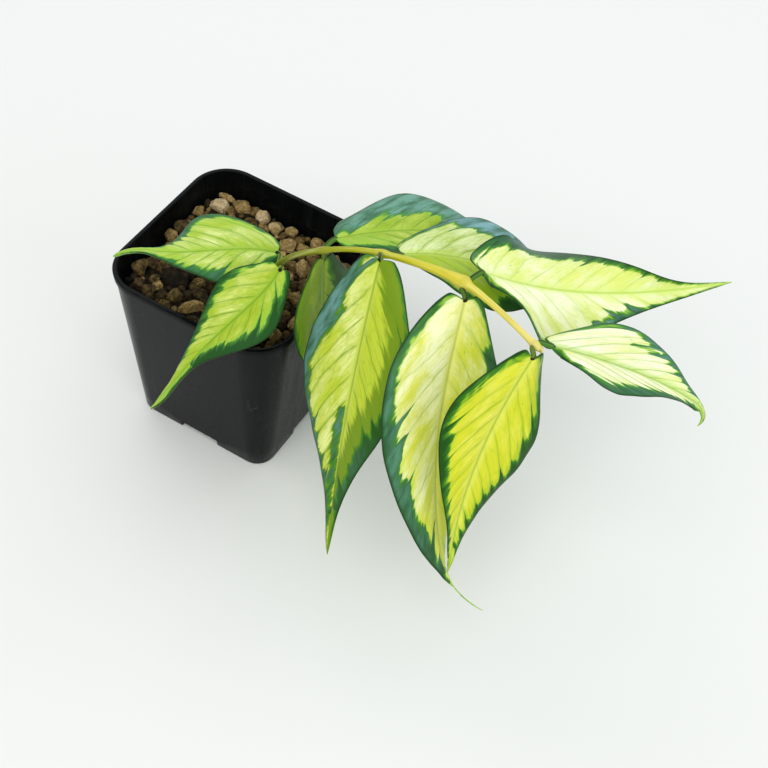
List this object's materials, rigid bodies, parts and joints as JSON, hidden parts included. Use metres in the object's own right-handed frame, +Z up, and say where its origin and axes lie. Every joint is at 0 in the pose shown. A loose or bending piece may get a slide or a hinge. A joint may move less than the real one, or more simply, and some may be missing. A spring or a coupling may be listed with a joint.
{
  "type": "potted hoya",
  "caption": "Potted hoya: an arching shoot with pointed, variegated waxy leaves in a square black nursery pot filled with pumice.",
  "frame": {"origin": "middle of the pot's foot, on the ground", "axes": "+Z up, the pot's walls along X and Y, and the shoot reaching out along +X"},
  "size_m": [0.1984, 0.123, 0.1157],
  "materials": {
    "pot_plastic": "satin",
    "pumice_gravel": "matte",
    "green_stem": "satin",
    "dry_stem": "matte",
    "hoya_leaf": "satin"
  },
  "bodies": {
    "root": {"pot": "pot_plastic", "pumice": "pumice_gravel", "stem": "green_stem", "stub": "dry_stem", "leaf_1": "hoya_leaf", "leaf_2": "hoya_leaf", "leaf_3": "hoya_leaf", "leaf_4": "hoya_leaf", "leaf_5": "hoya_leaf", "leaf_6": "hoya_leaf", "leaf_7": "hoya_leaf", "leaf_8": "hoya_leaf", "leaf_9": "hoya_leaf", "leaf_10": "hoya_leaf"}
  },
  "joints": []
}
